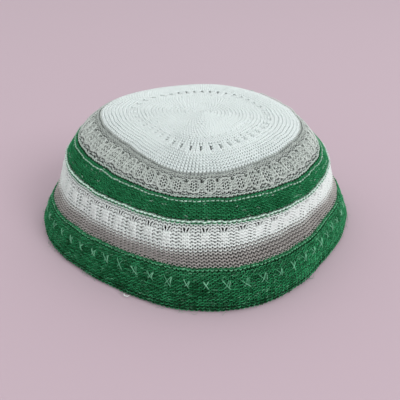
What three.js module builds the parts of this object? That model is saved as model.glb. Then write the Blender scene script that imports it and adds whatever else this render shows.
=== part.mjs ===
// A knitted kufi: a round, brimless cap of machine-knitted cotton, made as one dome of coloured
// bands. It stands on its own turned-up hem, open underneath.
// Millimetres, +Z up. The front of the cap faces -Y, and it rests on the plane Z = 0.

import * as THREE from 'three';

// ---- driving dimensions ------------------------------------------------------------------

const CLOTH = 2.0;          // thickness of the single knitted wall
const HEM_THICKNESS = 3.4;  // the hem is turned up, so it is double there
const HEM_SWELL = 1.2;      // how far the double hem stands out past the band above it
const HEM_ROUNDING = 1.4;   // length over which the hem's edges are rounded
const GAP = 0.35;           // clearance between one band's solid and the next
const COLUMNS = 72;         // steps round the cap
const STEP = 5.5;           // longest step down the cloth between two rings of points

// The outer face of the cap: a row for each round of the knitting where the colour or the slope
// changes, from the middle of the crown down to the surface that the cap stands on.
//   height, radius  of the round, its mean
//   aside, back     where the middle of the round lies: towards +X, and towards +Y
//   oval, skew      wider from side to side, and wider across the diagonal
//   front, side     soft three-cornered folds: with a corner at the front, with one at the side
//   square, turned  soft four-cornered folds: corners at front and sides, and between them
//   tip             how much higher the round is at the back than on average
const ROUND_COLUMNS = [
  'name', 'height', 'radius', 'aside', 'back', 'oval', 'skew', 'front', 'side', 'square', 'turned',
  'tip',
];
const ROUND_ROWS = [
  ['middle',      71.6,  0.0,  1.0,  1.8,  0.0,  0.0,  0.0,  0.0,  0.0,  0.0,  0.0],
  ['slit_ring',   69.3, 34.7,  1.0,  1.8,  1.9, -0.9,  1.9, -0.5,  1.0, -0.9,  4.0],
  ['crown_rim',   65.6, 56.0,  1.0,  1.8,  3.1, -1.4,  3.0, -0.8,  1.7, -1.4,  6.5],
  ['grey_edge',   54.2, 69.5,  0.7, -0.5,  4.6, -0.9,  2.4, -1.9,  0.5, -1.4,  3.4],
  ['green_edge',  46.0, 77.1,  0.4, -0.3,  3.5, -0.3,  2.7, -1.3,  0.2,  0.1,  1.9],
  ['white_edge',  30.2, 81.3, -0.7, -0.3,  3.3,  1.2,  2.1, -0.3,  1.7,  0.6,  0.3],
  ['taupe_edge',  20.1, 86.5,  0.5,  0.2,  3.3,  1.0,  2.2, -1.1,  1.4,  1.7, -0.4],
  ['floor',        0.0, 95.7,  0.8,  3.3,  3.5,  1.5,  3.1, -1.3,  1.5,  1.6,  0.0],
];

// The pieces, one for each colour or thickness of the knitting, with the rounds they run between.
const PIECES = [
  { name: 'crown',            from: 'middle',     to: 'crown_rim',  colour: 0xdce3e1 },
  { name: 'grey_lace_band',   from: 'crown_rim',  to: 'grey_edge',  colour: 0x939a94 },
  { name: 'green_band',       from: 'grey_edge',  to: 'green_edge', colour: 0x1c5735 },
  { name: 'white_lace_band',  from: 'green_edge', to: 'white_edge', colour: 0xc9cfcd },
  { name: 'taupe_band',       from: 'white_edge', to: 'taupe_edge', colour: 0x827f7b },
  { name: 'hem_band',         from: 'taupe_edge', to: 'floor',      colour: 0x1a5232 },
];

// ---- the cap's outer face ------------------------------------------------------------------

const rounds = ROUND_ROWS.map((row) => (
  Object.fromEntries(row.map((value, column) => [ROUND_COLUMNS[column], value]))
));

// Each round's distance down the cloth from the middle of the crown.
rounds.forEach((round, i) => {
  const above = rounds[i - 1];
  round.along = above
    ? above.along + Math.hypot(round.radius - above.radius, round.height - above.height)
    : 0;
});

const along = Object.fromEntries(rounds.map((round) => [round.name, round.along]));

// How fast a column of the table changes at one round, from the rounds on both sides of it.
function slopeAt(i, column) {
  const before = rounds[Math.max(i - 1, 0)];
  const here = rounds[i];
  const after = rounds[Math.min(i + 1, rounds.length - 1)];
  const upper = (here[column] - before[column]) / Math.max(here.along - before.along, 1e-9);
  const lower = (after[column] - here[column]) / Math.max(after.along - here.along, 1e-9);
  if (here === before) return lower;
  if (here === after) return upper;
  return (upper * (after.along - here.along) + lower * (here.along - before.along))
    / (after.along - before.along);
}

// A column of the table at any distance down the cloth, as one smooth curve through the rounds.
function valueAt(column, distance) {
  let i = 0;
  while (i < rounds.length - 2 && distance > rounds[i + 1].along) i += 1;
  const [upper, lower] = [rounds[i], rounds[i + 1]];
  const length = lower.along - upper.along;
  const t = (distance - upper.along) / length;
  return upper[column] * (1 + 2 * t) * (1 - t) ** 2
    + lower[column] * t * t * (3 - 2 * t)
    + slopeAt(i, column) * length * t * (1 - t) ** 2
    - slopeAt(i + 1, column) * length * t * t * (1 - t);
}

function outerFace(distance, angle) {
  const at = (column) => valueAt(column, distance);
  const radius = at('radius')
    + at('oval') * Math.cos(2 * angle) + at('skew') * Math.sin(2 * angle)
    + at('front') * Math.sin(3 * angle) + at('side') * Math.cos(3 * angle)
    + at('square') * Math.cos(4 * angle) + at('turned') * Math.sin(4 * angle);
  return new THREE.Vector3(
    at('aside') + radius * Math.cos(angle),
    at('back') + radius * Math.sin(angle),
    at('height') + at('tip') * Math.sin(angle),
  );
}

// The way out of the cloth at a point of the outer face.
function outward(distance, angle) {
  const d = THREE.MathUtils.clamp(distance, 0.5, along.floor - 0.5);
  const down = outerFace(d + 0.5, angle).sub(outerFace(d - 0.5, angle));
  const round = outerFace(d, angle + 0.02).sub(outerFace(d, angle - 0.02));
  return down.cross(round).normalize();
}

// A point of the cloth: down it, round it, and out of it. What would reach below the surface
// that the cap stands on lies flat on it.
function clothPoint(distance, angle, out) {
  const point = outerFace(distance, angle).addScaledVector(outward(distance, angle), out);
  point.z = Math.max(point.z, 0);
  return point;
}

// ---- the pieces ----------------------------------------------------------------------------

// One face of a wall as [distance, out] pairs, with even steps no longer than STEP.
function faceOf(start, end, out) {
  const steps = Math.ceil(Math.abs(end - start) / STEP);
  return Array.from({ length: steps + 1 }, (_, i) => [
    THREE.MathUtils.lerp(start, end, i / steps), out,
  ]);
}

function wallSection(start, end) {
  return [...faceOf(start, end, 0), ...faceOf(end, start, -CLOTH)];
}

// The double hem: it stands out past the band above, with rounded edges and a flat foot.
function hemSection(start, end) {
  return [
    [start, 0],
    ...faceOf(start + HEM_ROUNDING, end - HEM_ROUNDING, HEM_SWELL),
    [end, 0],
    ...faceOf(end, start + HEM_ROUNDING, HEM_SWELL - HEM_THICKNESS),
    [start, -CLOTH],
  ];
}

// Turns a section once round the crown's middle and lays every point of it on the cap.
function knittedSolid(section, closed) {
  const points = section.map(([distance, out]) => new THREE.Vector2(distance, out));
  if (closed) points.push(points[0].clone());
  const solid = new THREE.LatheGeometry(points.reverse(), COLUMNS);
  const position = solid.getAttribute('position');
  for (let i = 0; i < position.count; i += 1) {
    const distance = Math.hypot(position.getX(i), position.getZ(i));
    const angle = Math.atan2(position.getX(i), position.getZ(i));
    const point = clothPoint(distance, angle, position.getY(i));
    position.setXYZ(i, point.x, point.y, point.z);
  }
  solid.computeVertexNormals();
  return solid;
}

function makePiece({ name, from, to, colour }) {
  const start = along[from] + (from === 'middle' ? 0 : GAP / 2);
  const end = along[to] - (to === 'floor' ? 0 : GAP / 2);
  const section = to === 'floor' ? hemSection(start, end) : wallSection(start, end);
  const material = new THREE.MeshStandardMaterial({ color: colour, roughness: 0.95, metalness: 0 });
  const piece = new THREE.Mesh(knittedSolid(section, from !== 'middle'), material);
  piece.name = name;
  return piece;
}

const kufi = new THREE.Group();
kufi.name = 'kufi';
PIECES.forEach((piece) => kufi.add(makePiece(piece)));

export default kufi;
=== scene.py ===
"""A knitted kufi: a round, brimless cap of fine cotton in coloured bands, made stitch by stitch."""

import math

import bpy
import numpy as np
from mathutils import Euler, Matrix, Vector


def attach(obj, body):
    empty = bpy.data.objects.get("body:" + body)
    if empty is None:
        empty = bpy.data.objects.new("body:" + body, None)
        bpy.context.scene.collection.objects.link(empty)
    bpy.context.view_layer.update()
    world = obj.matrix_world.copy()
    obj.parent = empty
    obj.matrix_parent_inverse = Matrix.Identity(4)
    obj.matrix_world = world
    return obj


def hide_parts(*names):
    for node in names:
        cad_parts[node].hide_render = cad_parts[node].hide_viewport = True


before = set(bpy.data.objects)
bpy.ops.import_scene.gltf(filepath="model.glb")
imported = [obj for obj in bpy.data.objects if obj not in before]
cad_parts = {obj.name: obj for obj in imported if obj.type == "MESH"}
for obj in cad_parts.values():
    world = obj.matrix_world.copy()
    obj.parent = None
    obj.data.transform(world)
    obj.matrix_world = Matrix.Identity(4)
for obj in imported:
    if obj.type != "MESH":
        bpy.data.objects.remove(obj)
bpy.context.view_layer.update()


# ---- Crown -----------------------------------------------------------------------------------
# The white top: rounds of plain stitches, worked from the rim inwards, with a ring of long slits
# where stitches are drawn apart. Inside it the rounds have fewer and fewer stitches, up to a small
# gathered middle. The cotton is two fine strands twisted together.

# The cap's outer face, a row for each round where the colour or the slope changes, in metres:
# height and mean radius; how far its middle lies aside and back; then its soft folds, as an oval
# and a skewed oval, a corner in front and one at the side, a square and a turned square; and how
# much higher it lies at the back, its tip.
ROUNDS = {
    # height, radius, aside, back, oval, skew, front, side, square, turned, tip
    "middle": (.0716, .0000, .0010, .0018, .0000, .0000, .0000, .0000, .0000, .0000, .0000),
    "slit_ring": (.0693, .0347, .0010, .0018, .0019, -.0009, .0019, -.0005, .0010, -.0009, .0040),
    "crown_rim": (.0656, .0560, .0010, .0018, .0031, -.0014, .0030, -.0008, .0017, -.0014, .0065),
    "grey_edge": (.0542, .0695, .0007, -.0005, .0046, -.0009, .0024, -.0019, .0005, -.0014, .0034),
    "green_edge": (.0460, .0771, .0004, -.0003, .0035, -.0003, .0027, -.0013, .0002, .0001, .0019),
    "white_edge": (.0302, .0813, -.0007, -.0003, .0033, .0012, .0021, -.0003, .0017, .0006, .0003),
    "taupe_edge": (.0201, .0865, .0005, .0002, .0033, .0010, .0022, -.0011, .0014, .0017, -.0004),
    "floor": (.0000, .0957, .0008, .0033, .0035, .0015, .0031, -.0013, .0015, .0016, .0000),
}
round_table = np.array(list(ROUNDS.values()))
round_steps = np.hypot(*np.diff(round_table[:, :2], axis=0).T)
round_along = np.concatenate([[0], np.cumsum(round_steps)])
ALONG = dict(zip(ROUNDS, round_along))  # each round's distance down the cloth from the middle

round_slopes = np.diff(round_table, axis=0) / round_steps[:, None]
before, after = round_steps[:-1, None], round_steps[1:, None]
inner_slopes = (round_slopes[:-1] * after + round_slopes[1:] * before) / (before + after)
tangents = np.concatenate([round_slopes[:1], inner_slopes, round_slopes[-1:]])


def outer_face(along, angle):
    """Points of the cap's outer face, down the cloth from its middle and round it."""
    i = np.clip(np.searchsorted(round_along, along) - 1, 0, len(round_steps) - 1)
    length = round_steps[i][:, None]
    t = ((along - round_along[i]) / round_steps[i])[:, None]
    at = (
        round_table[i] * (1 + 2 * t) * (1 - t) ** 2
        + round_table[i + 1] * t * t * (3 - 2 * t)
        + tangents[i] * length * t * (1 - t) ** 2
        - tangents[i + 1] * length * t * t * (1 - t)
    ).T
    height, radius, aside, back, oval, skew, front, side, square, turned, tip = at
    radius = (
        radius
        + oval * np.cos(2 * angle) + skew * np.sin(2 * angle)
        + front * np.sin(3 * angle) + side * np.cos(3 * angle)
        + square * np.cos(4 * angle) + turned * np.sin(4 * angle)
    )
    return np.column_stack([
        aside + radius * np.cos(angle),
        back + radius * np.sin(angle),
        height + tip * np.sin(angle),
    ])


def outward(along, angle):
    """The way out of the cloth at points of its outer face."""
    step, turn = .0005, .02
    d = np.clip(along, step, ALONG["floor"] - step)
    down = outer_face(d + step, angle) - outer_face(d - step, angle)
    across = outer_face(d, angle + turn) - outer_face(d, angle - turn)
    normal = np.cross(down, across)
    return normal / np.linalg.norm(normal, axis=1)[:, None]


SEAM_ANGLE = math.radians(90)  # each round starts and ends at the back
MOTIF = 4  # how many stitches the lace repeats over

# The yarn and how evenly it is worked. Lengths are in metres.
YARN_SIDES = 3
YARN_TIP = .00003  # how thick a cut end is
LOOP_DEPTH = 1.2  # how far a loop goes in and out of the cloth, as a share of its yarn
HEIGHT_SPREAD = .04  # how unlike its neighbours a stitch is: in height, as a share of it
ASIDE_SPREAD = .03  # to the side, in stitches
DOWN_SPREAD = .00006  # up or down
WORN_LEAST, WORN_MOST, WORN_SHARPNESS = .2, .7, 8  # how pale a worn fleck is, and how short
VARY_TURN = 1.7  # how fast the lace's holes differ as they go round, in radians a stitch
# Painted shade: these shares colour yarn darker where it lies behind the cloth and on its
# underside.
BEHIND_SHADE, UNDER_SHADE = .6, .5  # how dark yarn is behind the cloth, and on its underside

# How each kind of stitch is worked. rise: how far its loop rises. lean: how far its legs slant out
# from the foot of the loop. open: how far they stand from the middle of the stitch. yarn: how thick
# it lies. proud: how far it stands out, in metres. foot, head and legs: 1 where that part of the
# loop lies in front, -1 where it lies behind. w is waved, x closer and s plump; m is open mesh; h
# shows only the heads of its loops and f only their feet; d is a dash and e a longer, thinner one;
# g is dense; c is dotted, and C is the last round of that.
STITCHES = {
    "w": dict(rise=1.0, lean=1.3, open=0.0, yarn=1.0, proud=.0, foot=1, head=1, legs=-1),
    "x": dict(rise=1.0, lean=1.3, open=0.0, yarn=1.15, proud=.0, foot=1, head=1, legs=-.8),
    "s": dict(rise=1.0, lean=1.3, open=0.0, yarn=1.4, proud=.0, foot=1, head=1, legs=.6),
    "m": dict(rise=1.0, lean=1.2, open=0.2, yarn=.95, proud=-.0003, foot=1, head=1, legs=.2),
    "h": dict(rise=1.0, lean=1.3, open=0.0, yarn=1.0, proud=.0, foot=-1, head=1, legs=-1),
    "f": dict(rise=1.0, lean=1.3, open=0.0, yarn=1.0, proud=.0, foot=1, head=-1, legs=-1),
    "d": dict(rise=0.6, lean=1.5, open=0.0, yarn=1.0, proud=.0002, foot=1, head=-1, legs=-1),
    "e": dict(rise=1.0, lean=1.6, open=0.0, yarn=1.0, proud=.0002, foot=1, head=-1, legs=-1),
    "g": dict(rise=1.1, lean=1.6, open=0.0, yarn=1.0, proud=.0, foot=1, head=1, legs=-.7),
    "c": dict(rise=1.0, lean=1.1, open=.75, yarn=1.2, proud=.0, foot=1, head=1, legs=-.7),
    "C": dict(rise=1.0, lean=1.1, open=.75, yarn=1.2, proud=.0, foot=-1, head=1, legs=-.7),
}


class Knitting:
    """Rounds of yarn, collected as rings of points on the flat cloth and then laid on the cap."""

    def __init__(self, seed, loop_points=12):
        self.random = np.random.default_rng(seed)
        self.rounds = []
        self.loop_points = loop_points

    def work(self, chart, stitches, along, height, yarn, pulls=(), shift=0.0, reach=1.45, pale=0.0,
             out=0.0, uneven=1.0, shade=1.0, flecks=0.0, points=None, slant=0.0):
        """Adds one round: chart is a row of stitch kinds that repeats round the cap.

        Each of pulls is a place, repeated every motif or every so many stitches, where the yarn is
        gathered, drawn up or down, pushed in, thinned or given painted shade, less and less over
        wide and tall.
        """
        points = points or self.loop_points
        kinds = [STITCHES[chart[i % len(chart)]] for i in range(stitches)]
        kind = {name: np.array([one[name] for one in kinds])[:, None] for name in kinds[0]}
        k = np.arange(stitches)[:, None]
        t = 2 * math.pi * np.arange(points)[None, :] / points
        loop = height * reach * self.random.normal(1, HEIGHT_SPREAD * uneven, (stitches, 1))
        depth = yarn * LOOP_DEPTH
        swing = kind["lean"] * np.sin(2 * t) - kind["open"] * np.sin(t)
        wale = k + (t + kind["rise"] * swing) / (2 * math.pi)
        wale = wale + self.random.normal(0, ASIDE_SPREAD * uneven, (stitches, 1))
        down = along + loop / 2 - kind["rise"] * loop * (1 - np.cos(t)) / 2
        down = down + slant * loop * np.sin(2 * t)
        down = down + self.random.normal(0, DOWN_SPREAD * uneven, (stitches, 1))
        arcs = (kind["foot"] + kind["head"]) / 2
        front = (
            (arcs + kind["legs"]) / 2
            + (kind["foot"] - kind["head"]) / 2 * np.cos(t)
            + (arcs - kind["legs"]) / 2 * np.cos(2 * t)
        )
        lift = out + kind["proud"] - depth - yarn + depth * front
        # Painted shade: yarn that goes behind the cloth is coloured darker.
        painted_shade = shade * (1 - front) / 2 + 0 * wale
        thick = yarn * kind["yarn"] + 0 * wale
        for pull in pulls:
            fall = down - pull["along"]
            middle = pull["wale"] + pull.get("slope", 0) * fall
            each = pull.get("each", MOTIF)
            phase = (wale - middle + each / 2) % each - each / 2
            weight = np.exp(-((phase / pull["wide"]) ** 2) - (fall / pull["tall"]) ** 4)
            differs = np.sin(VARY_TURN * (wale - phase)) ** 2
            weight = weight * (1 - pull.get("vary", 0) * differs)
            wale = wale - pull.get("gather", 0) * phase * weight
            down = down - pull.get("press", 0) * fall * weight + pull.get("sag", 0) * weight
            lift = lift - pull.get("sink", 0) * weight
            # A pull's dark share paints more shade on yarn that dives into a hole.
            painted_shade = painted_shade + pull.get("dark", 0) * weight
            thick = thick * (1 - pull.get("thin", 0) * weight)
        tone = np.repeat(self.random.normal(0, 1, (stitches, 1)), points, axis=1)
        worn = self.random.uniform(WORN_LEAST, WORN_MOST, (stitches, 1))
        worn = worn * (self.random.uniform(0, 1, (stitches, 1)) < flecks)
        fleck_place = self.random.uniform(0, math.pi, (stitches, 1))
        worn = worn * np.cos(t / 2 - fleck_place) ** WORN_SHARPNESS
        self.rounds.append(dict(
            angle=(SEAM_ANGLE + 2 * math.pi * (wale + shift) / stitches).ravel(),
            down=down.ravel(),
            out=lift.ravel(),
            thick=thick.ravel(),
            tone=tone.ravel(),
            pale=(pale + worn).ravel(),
            painted_shade=painted_shade.ravel(),
            shade=shade,
            points=points,
            closed=True,
        ))

    def strand(self, angle, down, out, thick, pale=0.0, closed=False):
        """Adds one loose or sewn strand; an open one is cut to a point at both ends."""
        n = len(angle)
        thick = np.full(n, thick)
        if not closed:
            thick[0] = thick[-1] = YARN_TIP
        self.rounds.append(dict(
            angle=angle, down=down, out=out, thick=thick,
            tone=np.full(n, self.random.normal(0, 1)),
            pale=np.full(n, pale),
            painted_shade=np.zeros(n),
            shade=1.0,
            points=self.loop_points,
            closed=closed,
        ))

    def finish(self, name, lay):
        """Makes one mesh of all the yarn. lay turns flat cloth into points and ways out."""
        corners, quads, ends, maps = [], [], [], []
        values = dict(tone=[], pale=[], painted_shade=[])
        count = 0
        sides = YARN_SIDES
        turn = 2 * math.pi * (np.arange(sides) + .25 * sides) / sides
        under = (1 - np.sin(turn)) / 2
        for ring in self.rounds:
            line, out = lay(ring["down"], ring["angle"], ring["out"])
            ahead = np.roll(line, -1, axis=0) - np.roll(line, 1, axis=0)
            if not ring["closed"]:
                ahead[0], ahead[-1] = line[1] - line[0], line[-1] - line[-2]
            ahead /= np.linalg.norm(ahead, axis=1)[:, None]
            side = np.cross(out, ahead)
            side /= np.linalg.norm(side, axis=1)[:, None]
            up = np.cross(ahead, side)
            around = (
                side[:, None, :] * np.cos(turn)[None, :, None]
                + up[:, None, :] * np.sin(turn)[None, :, None]
            )
            tube = line[:, None, :] + around * ring["thick"][:, None, None]
            n = len(line)
            i = np.arange(n if ring["closed"] else n - 1)[:, None]
            j = np.arange(sides)[None, :]
            i_next, j_next = (i + 1) % n, (j + 1) % sides
            quads.append(count + np.stack([
                i * sides + j, i * sides + j_next, i_next * sides + j_next, i_next * sides + j,
            ], axis=-1).reshape(-1, 4))
            if not ring["closed"]:
                ends.append(count + np.arange(sides)[::-1])
                ends.append(count + (n - 1) * sides + np.arange(sides))
            run = np.broadcast_to(i / ring["points"], (len(i), sides))
            wrap = np.broadcast_to(j / sides, (len(i), sides))
            next_run, next_wrap = run + 1 / ring["points"], wrap + 1 / sides
            maps.append(np.stack([
                np.stack([run, wrap], -1), np.stack([run, next_wrap], -1),
                np.stack([next_run, next_wrap], -1), np.stack([next_run, wrap], -1),
            ], axis=2).reshape(-1, 2))
            corners.append(tube.reshape(-1, 3))
            values["tone"].append(np.repeat(ring["tone"], sides))
            values["pale"].append(np.repeat(ring["pale"], sides))
            # Painted shade: darker behind the cloth and on the underside of each tube.
            painted_shade = ring["painted_shade"][:, None] * BEHIND_SHADE
            painted_shade = painted_shade + ring["shade"] * under[None, :] * UNDER_SHADE
            values["painted_shade"].append(painted_shade.ravel())
            count += n * sides
        corners, quads, maps = (np.concatenate(part) for part in (corners, quads, maps))
        ends = np.array(ends, dtype=np.int32).reshape(-1, sides)
        mesh = bpy.data.meshes.new(name)
        mesh.vertices.add(len(corners))
        mesh.vertices.foreach_set("co", corners.astype(np.float32).ravel())
        order = np.concatenate([quads.ravel(), ends.ravel()]).astype(np.int32)
        mesh.loops.add(len(order))
        mesh.loops.foreach_set("vertex_index", order)
        starts = np.concatenate([
            np.arange(0, quads.size, 4), quads.size + np.arange(0, ends.size, sides),
        ]).astype(np.int32)
        mesh.polygons.add(len(starts))
        mesh.polygons.foreach_set("loop_start", starts)
        mesh.update(calc_edges=True)
        mesh.shade_smooth()
        yarn_map = mesh.uv_layers.new(name="along_yarn")
        yarn_map.uv.foreach_set("vector", np.concatenate([
            maps.ravel(), np.zeros(ends.size * 2),
        ]).astype(np.float32))
        for label, parts in values.items():
            layer = mesh.attributes.new(label, "FLOAT", "POINT")
            layer.data.foreach_set("value", np.concatenate(parts).astype(np.float32))
        piece = bpy.data.objects.new(name, mesh)
        bpy.context.scene.collection.objects.link(piece)
        return piece


def lay_on_cap(down, angle, out):
    """Lays flat cloth on the cap, with the small waves and lumps of soft knitting."""
    drawn = (
        .00022 * np.sin(7 * angle + 1) + .00018 * np.sin(12 * angle + 4)
        + .00014 * np.sin(19 * angle + 2) + .00010 * np.sin(31 * angle)
    )
    down = down + drawn * np.clip(down / .05, 0, 1) * np.clip((.132 - down) / .02, 0, 1)
    out = out + np.clip((down - .05) / .03, 0, 1) * (
        .00020 * np.sin(9 * angle + 130 * down) + .00018 * np.sin(14 * angle - 190 * down + 1)
        + .00014 * np.sin(23 * angle + 90 * down + 3)
    )
    normal = outward(down, angle)
    return outer_face(down, angle) + normal * out[:, None], normal


def maths_for(tree):
    """A function that adds one sum to a tree of shader nodes, and returns what it comes to."""
    def maths(operation, *values):
        made = tree.nodes.new("ShaderNodeMath")
        made.operation = operation
        for socket, value in zip(made.inputs, values):
            if isinstance(value, (int, float)):
                socket.default_value = value
            else:
                tree.links.new(value, socket)
        return made.outputs[0]

    return maths


TWISTS, PLIES = 9.0, 2.0  # how often the strands of the yarn wind round in a stitch; how many
FUZZ_SCALE, PATCH_SCALE = 5200, 90


def spun_cotton_group():
    """Colour and height of twisted cotton: plies that wind round the yarn, fine fuzz and painted
    shade.
    """
    group = bpy.data.node_groups.new("spun_cotton", "ShaderNodeTree")
    for name, kind, value in (
        ("Dye", "NodeSocketColor", (.4, .4, .4, 1)),
        ("Worn Dye", "NodeSocketColor", (.8, .8, .8, 1)),
        ("Pale Dye", "NodeSocketColor", (.7, .8, .7, 1)),
        ("Painted Shade Color", "NodeSocketColor", (.1, .1, .1, 1)),
        ("Unevenness", "NodeSocketFloat", .12),
    ):
        socket = group.interface.new_socket(name, in_out="INPUT", socket_type=kind)
        socket.default_value = value
    group.interface.new_socket("Color", in_out="OUTPUT", socket_type="NodeSocketColor")
    group.interface.new_socket("Height", in_out="OUTPUT", socket_type="NodeSocketFloat")
    nodes, links = group.nodes, group.links
    maths = maths_for(group)
    given = nodes.new("NodeGroupInput")
    put_out = nodes.new("NodeGroupOutput")

    def noise(scale, detail):
        made = nodes.new("ShaderNodeTexNoise")
        made.inputs["Scale"].default_value = scale
        made.inputs["Detail"].default_value = detail
        links.new(place.outputs["Object"], made.inputs["Vector"])
        return maths("SUBTRACT", made.outputs["Fac"], .5)

    def attribute(name):
        made = nodes.new("ShaderNodeAttribute")
        made.attribute_name = name
        return made.outputs["Fac"]

    def blend(factor, a, b):
        made = nodes.new("ShaderNodeMix")
        made.data_type = "RGBA"
        links.new(factor, made.inputs[0])
        links.new(a, made.inputs[6])
        links.new(b, made.inputs[7])
        return made.outputs[2]

    place = nodes.new("ShaderNodeTexCoord")
    yarn = nodes.new("ShaderNodeUVMap")
    yarn.uv_map = "along_yarn"
    split = nodes.new("ShaderNodeSeparateXYZ")
    links.new(yarn.outputs["UV"], split.inputs[0])
    wound = maths("ADD", maths("MULTIPLY", split.outputs[0], TWISTS),
                  maths("MULTIPLY", split.outputs[1], PLIES))
    plies = maths("SINE", maths("MULTIPLY", wound, 2 * math.pi))
    fuzz = noise(FUZZ_SCALE, 3)
    patches = noise(PATCH_SCALE, 4)
    light = maths("MULTIPLY_ADD", attribute("tone"), given.outputs["Unevenness"], .5)
    light = maths("MULTIPLY_ADD", patches, .5, light)
    # Painted shade and highlight: the colour darkens and lightens along the twist of the plies.
    light = maths("MULTIPLY_ADD", plies, .15, light)
    light = maths("MULTIPLY_ADD", fuzz, .6, light)
    dyed = blend(light, given.outputs["Dye"], given.outputs["Worn Dye"])
    dyed = blend(attribute("pale"), dyed, given.outputs["Pale Dye"])
    # Painted shade: blends towards the shade colour where the yarn lies behind the cloth or
    # underneath.
    dyed = blend(attribute("painted_shade"), dyed, given.outputs["Painted Shade Color"])
    links.new(dyed, put_out.inputs["Color"])
    links.new(maths("MULTIPLY_ADD", plies, .3, fuzz), put_out.inputs["Height"])
    return group


spun_cotton = spun_cotton_group()


def cotton(name, dye, worn, painted_shade_colour, pale=(.46, .80, .62), unevenness=.12, gloss=.25):
    """A matte cotton yarn of one dye, with a colour for its painted shade."""
    material = bpy.data.materials.new(name)
    material.use_nodes = True
    nodes, links = material.node_tree.nodes, material.node_tree.links
    surface = nodes["Principled BSDF"]
    surface.inputs["Roughness"].default_value = .92
    surface.inputs["Specular IOR Level"].default_value = gloss
    surface.inputs["Sheen Weight"].default_value = .4 * gloss
    surface.inputs["Sheen Roughness"].default_value = .5
    yarn = nodes.new("ShaderNodeGroup")
    yarn.node_tree = spun_cotton
    yarn.inputs["Dye"].default_value = (*dye, 1)
    yarn.inputs["Worn Dye"].default_value = (*worn, 1)
    yarn.inputs["Pale Dye"].default_value = (*pale, 1)
    yarn.inputs["Painted Shade Color"].default_value = (*painted_shade_colour, 1)
    yarn.inputs["Unevenness"].default_value = unevenness
    links.new(yarn.outputs["Color"], surface.inputs["Base Color"])
    bump = nodes.new("ShaderNodeBump")
    bump.inputs["Strength"].default_value = .6
    bump.inputs["Distance"].default_value = .00012
    links.new(yarn.outputs["Height"], bump.inputs["Height"])
    links.new(bump.outputs["Normal"], surface.inputs["Normal"])
    return material


BACKS_AROUND, BACKS_STEP = 144, .003  # the shell's faces: how many go round, and how tall each is
FLOOR_GAP = .0002  # how far over the floor its foot stays


def inner_face(name, start, end, depth, material, thick=.0002):
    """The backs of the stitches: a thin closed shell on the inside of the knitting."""
    rounds = max(2, round((end - start) / BACKS_STEP))
    bpy.ops.object.select_all(action="DESELECT")
    bpy.ops.mesh.primitive_grid_add(x_subdivisions=BACKS_AROUND, y_subdivisions=rounds, size=1)
    piece = bpy.context.object
    piece.name = name
    mesh = piece.data
    flat = np.array([corner.co for corner in mesh.vertices])
    angle = 2 * math.pi * (flat[:, 0] + .5)
    down = start + (end - start) * (.5 - flat[:, 1])
    points = lay_on_cap(down, angle, np.full(len(flat), -depth))[0]
    if start == 0:
        points[down == 0] = points[down == 0].mean(axis=0)
    mesh.vertices.foreach_set("co", points.astype(np.float32).ravel())
    rounds_map = mesh.uv_layers.new(name="along_rounds")
    for corner in mesh.loops:
        i = corner.vertex_index
        rounds_map.uv[corner.index].vector = (BACKS_AROUND * (flat[i, 0] + .5), 1000 * down[i])
    bpy.ops.object.mode_set(mode="EDIT")
    bpy.ops.mesh.select_all(action="SELECT")
    bpy.ops.mesh.remove_doubles(threshold=.000001)
    bpy.ops.mesh.normals_make_consistent(inside=False)
    bpy.ops.object.mode_set(mode="OBJECT")
    outer = len(mesh.vertices)
    wall = piece.modifiers.new("wall", "SOLIDIFY")
    wall.thickness = thick
    wall.offset = -1
    bpy.ops.object.modifier_apply(modifier="wall")
    mesh = piece.data
    for corner in mesh.vertices:
        corner.co.z = max(corner.co.z, FLOOR_GAP)
    # inside marks the inner face; the outer face, towards the loops, carries painted shade.
    inside = mesh.attributes.new("inside", "FLOAT", "POINT")
    inside.data.foreach_set("value", (np.arange(len(mesh.vertices)) >= outer).astype(np.float32))
    bpy.ops.object.shade_smooth()
    mesh.materials.append(material)
    return piece


RIDGES_AROUND, RIDGE_HEIGHT, RIDGE_SLANT = 192, 1.85, 1.4  # how many go round; millimetres


def purl_ridges_group():
    """Height of the smooth side of knitting: columns of small slanted stitches."""
    group = bpy.data.node_groups.new("purl_ridges", "ShaderNodeTree")
    group.interface.new_socket("Height", in_out="OUTPUT", socket_type="NodeSocketFloat")
    nodes, links = group.nodes, group.links
    rounds = nodes.new("ShaderNodeUVMap")
    rounds.uv_map = "along_rounds"
    split = nodes.new("ShaderNodeSeparateXYZ")
    links.new(rounds.outputs["UV"], split.inputs[0])
    maths = maths_for(group)
    column_turn = 2 * math.pi * RIDGES_AROUND / BACKS_AROUND
    column = maths("COSINE", maths("MULTIPLY", split.outputs[0], column_turn))
    slanted = maths("MULTIPLY", column, RIDGE_SLANT)
    row = maths("MULTIPLY_ADD", split.outputs[1], 2 * math.pi / RIDGE_HEIGHT, slanted)
    put_out = nodes.new("NodeGroupOutput")
    height = maths("MULTIPLY_ADD", maths("SINE", row), .5, maths("MULTIPLY", column, -.5))
    links.new(height, put_out.inputs["Height"])
    return group


purl_ridges = purl_ridges_group()


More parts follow.
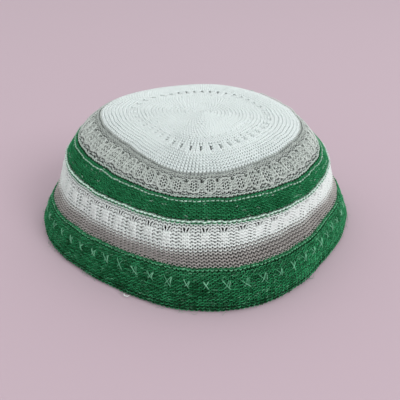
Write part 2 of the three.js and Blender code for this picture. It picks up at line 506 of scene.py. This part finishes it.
def backs(name, painted_shade_colour, dye):
    """The backs of the stitches: painted shade on the face towards the loops, a darker tone of
    their cotton on the inside.
    """
    material = bpy.data.materials.new(name)
    material.use_nodes = True
    nodes, links = material.node_tree.nodes, material.node_tree.links
    surface = nodes["Principled BSDF"]
    surface.inputs["Roughness"].default_value = .95
    surface.inputs["Specular IOR Level"].default_value = .2
    inside = nodes.new("ShaderNodeAttribute")
    inside.attribute_name = "inside"
    # Painted shade on the face towards the loops; the inside gets the other colour.
    mix = nodes.new("ShaderNodeMix")
    mix.data_type = "RGBA"
    links.new(inside.outputs["Fac"], mix.inputs[0])
    mix.inputs[6].default_value = (*painted_shade_colour, 1)
    mix.inputs[7].default_value = (*dye, 1)
    links.new(mix.outputs[2], surface.inputs["Base Color"])
    ridges = nodes.new("ShaderNodeGroup")
    ridges.node_tree = purl_ridges
    bump = nodes.new("ShaderNodeBump")
    bump.inputs["Strength"].default_value = .7
    bump.inputs["Distance"].default_value = .0006
    links.new(ridges.outputs["Height"], bump.inputs["Height"])
    links.new(bump.outputs["Normal"], surface.inputs["Normal"])
    return material


def knit_in(piece, node):
    """Joins a piece to the cap, and hides the part of it that the piece stands for."""
    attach(piece, "root")
    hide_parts(node)


SMALL_SLITS = (
    dict(wale=1.5, each=3, along=.0272, gather=-.5, wide=.5, tall=.0010),
    dict(wale=1.5, each=3, along=.0272, sink=.0016, wide=.3, tall=.0006),
)
LONG_SLITS = (
    dict(wale=.5, along=.0368, gather=-1.1, wide=.85, tall=.0036),
    dict(wale=.5, along=.0368, sink=.0026, wide=.49, tall=.0034),
)
# The rounds of the crown, from the middle out: where each group of rounds ends, how many there are,
# how many stitches each has, how much painted shade its gaps get, how far all its rounds are turned
# and how much more each is turned than the last, in stitches, and its slits.
CROWN_GROUPS = (
    dict(end=.0022, rounds=1, stitches=8, shade=.2, turned=0, more=.5, pulls=()),
    dict(end=.0062, rounds=2, stitches=21, shade=.2, turned=0, more=.5, pulls=()),
    dict(end=.0162, rounds=5, stitches=42, shade=.25, turned=0, more=.5, pulls=()),
    dict(end=.0262, rounds=5, stitches=84, shade=.25, turned=0, more=.5, pulls=()),
    dict(end=.0342, rounds=4, stitches=126, shade=.3, turned=0, more=0, pulls=SMALL_SLITS),
    dict(end=.0398, rounds=3, stitches=168, shade=.3, turned=-.5, more=0, pulls=LONG_SLITS),
    dict(end=.0566, rounds=8, stitches=176, shade=.15, turned=0, more=0, pulls=()),
)
CROWN_LAST = .0555  # past here there is no round to hold the loops' feet
FINER_FROM, FINER_OVER = .038, .016  # where the yarn begins to draw finer, and over what length
crown = Knitting(seed=11, loop_points=10)
start = .0004
for group in CROWN_GROUPS:
    height = (group["end"] - start) / group["rounds"]
    for i in range(group["rounds"]):
        along = start + height * (i + .5)
        pitch = 2 * math.pi * along / group["stitches"]
        finer = max(0, min(1, (along - FINER_FROM) / FINER_OVER))
        crown.work("C" if along > CROWN_LAST else "c", group["stitches"], along, height,
                   min(.00049 - .00004 * finer, pitch * .4), pulls=group["pulls"], reach=1.6,
                   shift=group["turned"] + group["more"] * i,
                   shade=group["shade"] * (.5 + .5 * finer))
    start = group["end"]
gather_points = 12
turn = 2 * math.pi * np.arange(gather_points) / gather_points
crown.strand(turn, np.full(gather_points, .0005), np.full(gather_points, -.0006), .00045,
             closed=True)
crown_piece = crown.finish("crown_knit", lay_on_cap)
crown_piece.data.materials.append(
    cotton("white_crown_cotton", (.75, .82, .81), (.84, .90, .895), (.48, .54, .52))
)
knit_in(crown_piece, "crown")
# Painted shade: the shells behind the crown are light, and dark behind the slits.
for part, start, end, depth, painted_shade_colour in (
    ("middle", 0, .0334, .0016, (.55, .6, .59)),
    ("slits", .0332, .0404, .0022, (.13, .14, .14)),
    ("rim", .0402, .0566, .0015, (.54, .58, .57)),
):
    crown_backs = inner_face("crown_backs_painted_shade_" + part, start, end, depth,
                             backs("white_backs_painted_shade_" + part, painted_shade_colour, (.7, .73, .72)))
    knit_in(crown_backs, "crown")


# ---- Grey lace band --------------------------------------------------------------------------
# The slope under the crown, in grey cotton lace: a row of oval cells with an open mesh inside and a
# plump outline, with small holes over and under them. Its upper edge is worked onto the crown's
# rim, and rolls up over it at the back on the right.

GREY_STITCHES = 192
GREY_SHIFT = .43  # how far its stitches are turned from the seam, in stitches
CELLS_ALONG = .0648  # the middle of the cells, down the cloth
GREY_ROUNDS = (  # how far down the cloth, which stitches, how pale
    (.0571, "wwww", 0), (.0588, "wwww", 0), (.0604, "wwww", 0),
    (.0621, "xmmx", 0), (.0638, "xmmx", 0), (.0655, "xmmx", 0), (.0672, "xmmx", 0),
    (.0690, "wwww", 0), (.0707, "wwww", 0), (.0724, "hhhh", .35),
)
GREY_PULLS = (
    dict(wale=2, along=CELLS_ALONG, press=-.2, wide=1.5, tall=.0056),
    dict(wale=2, along=.0600, sag=-.0006, wide=1.2, tall=.0018),
    dict(wale=2, along=.0700, sag=.0006, wide=1.2, tall=.0018),
    dict(wale=0, along=CELLS_ALONG, gather=.35, wide=1.2, tall=.0030),
    # dark paints shade on the yarn that dives into the small holes.
    dict(wale=0, along=.0616, slope=60, sink=.0030, dark=1, thin=.7, wide=.36, tall=.0010,
         vary=.35),
    dict(wale=1, along=.0706, sink=.0020, dark=.8, thin=.5, wide=.36, tall=.0006, vary=.8),
    dict(wale=3, along=.0708, sink=.0020, dark=.8, thin=.5, wide=.36, tall=.0006, vary=.8),
)
grey = Knitting(seed=12)
# Painted shade in the gaps: strongest in the rounds just over the cells, lightest in the cells.
for along, chart, pale in GREY_ROUNDS:
    over_cells = along < .061
    grey.work(chart, GREY_STITCHES, along, .0017, .00035 if over_cells else .00041,
              pulls=GREY_PULLS, pale=pale, shift=GREY_SHIFT, reach=1.6 if over_cells else 1.45,
              shade=.6 if chart == "xmmx" else 1.7 if .058 < along < .061 else 1.2)
cell_points = 24
turn = 2 * math.pi * np.arange(cell_points) / cell_points
for cell in range(GREY_STITCHES // MOTIF):
    middle = cell * MOTIF + 2 + GREY_SHIFT + grey.random.normal(0, .1)
    along = CELLS_ALONG + grey.random.normal(0, .0002)
    tall = .0050 * grey.random.normal(1, .05)
    for wide, size, out in ((1.42, .9, -.00055), (1.72, 1.0, -.00040)):
        wale = middle + (wide + grey.random.normal(0, .09, cell_points)) * np.cos(turn)
        grey.strand(
            SEAM_ANGLE + 2 * math.pi * wale / GREY_STITCHES,
            along - tall * size * np.sin(turn),
            out + .0003 * np.cos(turn) ** 2 + grey.random.normal(0, .00006, cell_points),
            .00029,
            closed=True,
        )
roll_points = 24
steps = np.linspace(0, 1, roll_points)
for start, end in ((8, 27), (22, 41), (37, 47), (50, 54)):  # degrees round the cap
    grey.strand(
        np.radians(start + (end - start) * steps),
        .0562 + grey.random.normal(0, .00008, roll_points),
        -.0009 + .0013 * np.sin(math.pi * steps) ** .5,
        .00034,
    )
grey_piece = grey.finish("grey_lace_knit", lay_on_cap)
grey_piece.data.materials.append(
    cotton("grey_lace_cotton", (.54, .60, .56), (.78, .84, .80), (.16, .18, .17))
)
knit_in(grey_piece, "grey_lace_band")
# Painted shade: the shell's face towards the loops is dark.
grey_backs_painted_shade = inner_face("grey_backs_painted_shade", .0562, .0730, .0020,
                        backs("grey_lace_backs_painted_shade", (.05, .055, .05), (.3, .33, .31)))
knit_in(grey_backs_painted_shade, "grey_lace_band")


# ---- Green band ------------------------------------------------------------------------------
# Dense green cotton, whose loops slant a little one way. A round of pale mint dashes is worked in
# at each edge, with a thin green round beside it.

GREEN_STITCHES = 192
green = Knitting(seed=13)
height = .00187
# Painted shade darkens the gaps between its loops.
for i in range(7):
    green.work("f" if i == 0 else "g", GREEN_STITCHES, .0732 + height * i, height, .00031,
               uneven=1.4, reach=1.58, shade=1.15, flecks=.10, slant=.035)
for kind, along, height, yarn, looks in (
    ("e", .0733, .0008, .00024, dict(out=-.0002)),
    ("d", .0741, .0012, .00041, dict(out=.0003, pale=.55, uneven=2.5, flecks=.7)),
    ("e", .0854, .0008, .00062, dict(out=.0006, pale=1.0, uneven=2.5)),
    ("e", .0863, .0008, .00030, dict(out=.0002)),
):
    green.work(kind, GREEN_STITCHES, along, height, yarn, points=8, **looks)
green_piece = green.finish("green_knit", lay_on_cap)
green_piece.data.materials.append(
    cotton("green_cotton", (.004, .150, .045), (.050, .43, .175), (.001, .028, .008),
           pale=(.72, .96, .84), unevenness=.20, gloss=.1)
)
knit_in(green_piece, "green_band")
# Painted shade: the shell's face towards the loops is dark green.
green_backs_painted_shade = inner_face("green_backs_painted_shade", .0728, .0860, .0017,
                         backs("green_backs_painted_shade", (.002, .045, .014), (.008, .085, .03)))
knit_in(green_backs_painted_shade, "green_band")


# ---- White lace band -------------------------------------------------------------------------
# White cotton lace: each motif has a pair of slanted eyelets over a smooth gathered place, from
# which the stitches fan out. Three short strands run down between and beside the eyelets.

WHITE_STITCHES = 208
EYELETS_ALONG = .0909
WHITE_CHART = (
    "ffff", "wwww", "wwww", "swws", "sxxs", "sxxs", "sxxsxxxxsxxxxxxssxxs", "xxxxsxxxxxxs", "wwww",
)
WHITE_PULLS = (
    dict(wale=0, along=.0955, gather=.25, wide=1.6, tall=.0034),
    # dark paints shade on the yarn that dives into each eyelet.
    dict(wale=.52, along=EYELETS_ALONG, slope=-110, sink=.0036, dark=1, thin=.7, wide=.34,
         tall=.0013),
    dict(wale=-.52, along=EYELETS_ALONG, slope=110, sink=.0036, dark=1, thin=.7, wide=.42,
         tall=.0014),
)
# How much painted shade each round's gaps get.
WHITE_SHADES = (.5, .7, .5, .5, .2, .2, .2, .2, .7)
white = Knitting(seed=14)
height = .00181
for i, row in enumerate(WHITE_CHART):
    white.work(row, WHITE_STITCHES, .0864 + height * i, height, .00052 if 2 < i < 7 else .00046,
               pulls=WHITE_PULLS, pale=.3 if i == 0 else 0, shift=1.58 + .07 * max(0, i - 2),
               points=20 if i in (2, 3) else 12, shade=WHITE_SHADES[i])
bar_points = 8
steps = np.linspace(0, 1, bar_points)
for motif in range(WHITE_STITCHES // MOTIF):
    middle = motif * MOTIF + 1.65
    for top, bottom in ((-.95, -.30), (0, 0), (.90, .30)):
        wale = middle + top + (bottom - top) * steps + white.random.normal(0, .04, bar_points)
        white.strand(
            SEAM_ANGLE + 2 * math.pi * wale / WHITE_STITCHES,
            .0889 + .0043 * steps,
            -.0006 - .0016 * np.abs(2 * steps - 1) ** 3,
            .00043,
        )
white_piece = white.finish("white_lace_knit", lay_on_cap)
white_piece.data.materials.append(
    cotton("white_lace_cotton", (.785, .84, .82), (.845, .90, .88), (.61, .65, .635))
)
knit_in(white_piece, "white_lace_band")
# Painted shade: dark behind the eyelets and at the edge, light behind the smooth places.
for part, start, end, painted_shade_colour in (
    ("eyelets", .0860, .0924, .02), ("smooth", .0922, .0990, .48), ("edge", .0988, .1018, .025),
):
    white_backs = inner_face("white_backs_painted_shade_" + part, start, end, .0020,
                             backs("white_backs_painted_shade_" + part, (painted_shade_colour, painted_shade_colour, painted_shade_colour), (.7, .73, .72)))
    knit_in(white_backs, "white_lace_band")


# ---- Taupe band ------------------------------------------------------------------------------
# Open, wavy rounds of warm grey cotton, with small gaps that alternate from wave to wave. The
# first two take up some of the white yarn above, so they are paler.

TAUPE_STITCHES = 208
TAUPE_PALE = (.6, .25, 0, 0, 0, 0)
taupe = Knitting(seed=15)
height = .00175
# Painted shade in the gaps, less in each round down.
for i, pale in enumerate(TAUPE_PALE):
    taupe.work("h" if i == 5 else "w", TAUPE_STITCHES, .1017 + height * (i + .5), height, .00044,
               pale=pale, shift=2.0, reach=1.47, shade=.8 - .1 * i)
taupe_piece = taupe.finish("taupe_knit", lay_on_cap)
taupe_piece.data.materials.append(
    cotton("taupe_cotton", (.33, .313, .298), (.51, .485, .462), (.17, .165, .16),
           pale=(.80, .83, .80))
)
knit_in(taupe_piece, "taupe_band")
# Painted shade: the shell's face towards the loops is dark.
taupe_backs_painted_shade = inner_face("taupe_backs_painted_shade", .1014, .1114, .0020,
                         backs("taupe_backs_painted_shade", (.13, .13, .12), (.26, .25, .23)))
knit_in(taupe_backs_painted_shade, "taupe_band")


# ---- Hem -------------------------------------------------------------------------------------
# The green hem is knitted twice as deep, turned up inside and caught down, so its lower edge is
# thick and round. Pale threads are sewn crosswise over every fourth stitch. The worn cotton has
# loose fibres, and one cut end of white yarn shows at the foot.

YARN_ON_FLOOR = .0006  # how high the lowest yarn's middle lies


def lay_on_floor(down, angle, out):
    """Lays flat cloth on the cap, and keeps its yarn from sinking below the floor."""
    line, normal = lay_on_cap(down, angle, out)
    line[:, 2] = np.maximum(line[:, 2], YARN_ON_FLOOR)
    return line, normal


HEM_STITCHES = 232
HEM_RADIUS = .092
hem = Knitting(seed=16, loop_points=10)
height = .00177
# Painted shade: each round down gets a little more shade in its gaps, most at the foot; the top
# rounds are also a little paler.
for i in range(13):
    swell = .0012 * min(1, (i + .3) / 1.5) - .0010 * max(0, (i - 10.5) / 1.5) ** 2
    hem.work("f" if i == 0 else "g", HEM_STITCHES, .1105 + height * (i + .5), height, .00032,
             out=swell, uneven=1.6, reach=1.58, shade=1.15 + .03 * i, flecks=.22, slant=-.035,
             pale=max(0, .06 - .012 * i))
hem_border = Knitting(seed=19, loop_points=9)
hem_border.work("e", HEM_STITCHES, .1107, .0006, .00030, out=.0003)
hem_border.work("d", HEM_STITCHES, .1113, .0011, .00043, pale=.65, out=.0008, uneven=2.5,
                flecks=.7)
hem_cotton = cotton("hem_cotton", (.003, .115, .034), (.050, .45, .180), (.001, .016, .004),
                    pale=(.28, .70, .43), unevenness=.32, gloss=.1)
for knitted, name in ((hem, "hem_knit"), (hem_border, "hem_border_knit")):
    piece = knitted.finish(name, lay_on_floor)
    piece.data.materials.append(hem_cotton)
    knit_in(piece, "hem_band")

# Where each sewn thread starts, bends and ends, across and down from the middle of its cross, in
# millimetres. The short third one isn't in every cross.
LONG_THREADS = [((-2.2, -2.8), (-.3, -.2), (1.9, 2.7)), ((1.5, -2.5), (.3, -.4), (-1.2, 1.9))]
SHORT_THREAD = ((1.9, -2.2), (1.3, -.6), (1.2, 1.4))
SHORT_SHARE = .65
CROSSES_SHIFT = 1.74  # how far the first cross lies from the seam, in stitches
CROSSES_ALONG, CROSSES_RADIUS = .1194, .0905
crossed = Knitting(seed=17, loop_points=6)
thread_points = 7
steps = np.linspace(0, 1, thread_points)
for motif in range(HEM_STITCHES // MOTIF):
    middle = SEAM_ANGLE + 2 * math.pi * (motif * MOTIF + CROSSES_SHIFT) / HEM_STITCHES
    size = crossed.random.normal(1, .13)
    turned = crossed.random.normal(0, .16)
    short = [SHORT_THREAD] if crossed.random.uniform() < SHORT_SHARE else []
    for thread in LONG_THREADS + short:
        worn = crossed.random.uniform(.3, .9)
        for fibre in range(3):
            start, bend, end = (
                size * (np.array(point) / 1000 + turned * np.array((-point[1], point[0])) / 1000)
                + crossed.random.normal(0, .00022, 2)
                for point in thread
            )
            at = (
                start * ((1 - steps) ** 2)[:, None]
                + bend * (2 * steps * (1 - steps))[:, None]
                + end * (steps ** 2)[:, None]
            )
            out = .0014 - .0008 * np.abs(2 * steps - 1) ** 3
            crossed.strand(
                middle + at[:, 0] / CROSSES_RADIUS,
                CROSSES_ALONG + at[:, 1],
                out + crossed.random.normal(0, .00008, thread_points),
                .00018,
                pale=worn,
            )
crossed_piece = crossed.finish("hem_crossed_threads", lay_on_floor)
crossed_piece.data.materials.append(
    cotton("pale_green_cotton", (.02, .2, .08), (.07, .42, .20), (.01, .1, .04),
           pale=(.28, .66, .43), gloss=.1)
)
knit_in(crossed_piece, "hem_band")

HAIRS = 500
fuzz = Knitting(seed=18, loop_points=6)
steps = np.linspace(0, 1, 6)
for hair in range(HAIRS):
    length = fuzz.random.uniform(.0012, .0038)
    turned = fuzz.random.uniform(0, 2 * math.pi)
    curl = fuzz.random.normal(0, 1.5)
    heading = turned + curl * steps ** 2
    fuzz.strand(
        fuzz.random.uniform(0, 2 * math.pi) + length * steps * np.cos(heading) / HEM_RADIUS,
        .1342 - .0230 * fuzz.random.uniform() ** 2 + length * steps * np.sin(heading),
        .0009 + length * steps * max(.05, fuzz.random.uniform(-.4, .7)),
        .00006,
        pale=fuzz.random.uniform(0, .7),
    )
fuzz_piece = fuzz.finish("hem_fuzz", lay_on_floor)
fuzz_piece.data.materials.append(
    cotton("loose_green_fibres", (.01, .15, .06), (.05, .38, .17), (.01, .1, .04),
           pale=(.24, .62, .38), gloss=.1)
)
knit_in(fuzz_piece, "hem_band")

yarn_end = Knitting(seed=20, loop_points=9)
across = np.linspace(-1, 1, 9)
yarn_end.strand(
    math.radians(-113.2) + .019 * across,
    .1338 + .0006 * (1 - across ** 2),
    .0006 + .0016 * (1 - across ** 4),
    .00034,
)
yarn_end_piece = yarn_end.finish("hem_yarn_end", lay_on_floor)
yarn_end_piece.data.materials.append(white_piece.data.materials[0])
knit_in(yarn_end_piece, "hem_band")

# Painted shade: the shell's face towards the loops is nearly black green.
hem_backs_painted_shade = inner_face("hem_backs_painted_shade", .1104, .1340, .0008,
                       backs("hem_backs_painted_shade", (.002, .035, .011), (.006, .07, .025)), thick=.0012)
knit_in(hem_backs_painted_shade, "hem_band")


# ---- Setting ---------------------------------------------------------------------------------
# The cap stands by itself on a plain pale pink floor, under a large soft lamp from the right.

bpy.ops.object.select_all(action="DESELECT")
bpy.ops.mesh.primitive_plane_add(size=12)
floor = bpy.context.object
floor.name = "floor"
paper = bpy.data.materials.new("pale_floor")
paper.use_nodes = True
paper.node_tree.nodes["Principled BSDF"].inputs["Base Color"].default_value = (.515, .402, .460, 1)
paper.node_tree.nodes["Principled BSDF"].inputs["Roughness"].default_value = .9
floor.data.materials.append(paper)

world = bpy.data.worlds.new("soft_room")
bpy.context.scene.world = world
world.use_nodes = True
world.node_tree.nodes["Background"].inputs["Color"].default_value = (1, 1, 1, 1)
world.node_tree.nodes["Background"].inputs["Strength"].default_value = .90

glow = bpy.data.lights.new("window_lamp", "AREA")
glow.shape = "SQUARE"
glow.size = 1.4
glow.energy = 48
lamp = bpy.data.objects.new("window_lamp", glow)
bpy.context.scene.collection.objects.link(lamp)
lamp_place, lamp_aim = Vector((2.1, -1.8, 2.0)), Vector((0, 0, .04))
lamp.location = lamp_place
lamp.rotation_euler = (lamp_aim - lamp_place).to_track_quat("-Z", "Y").to_euler()

bpy.context.scene.view_settings.view_transform = "Standard"

lens = bpy.data.cameras.new("camera")
lens.sensor_width = 36
lens.angle = math.radians(46)
lens.clip_start = .01
camera = bpy.data.objects.new("camera", lens)
bpy.context.scene.collection.objects.link(camera)
camera.location = (.0011, -.2681, .1676)
tilt = Euler((math.radians(90 - 30.31), 0, 0)).to_matrix()
roll = Euler((0, 0, math.radians(1.10))).to_matrix()
camera.rotation_euler = (tilt @ roll).to_euler()
bpy.context.scene.camera = camera

bpy.context.view_layer.update()
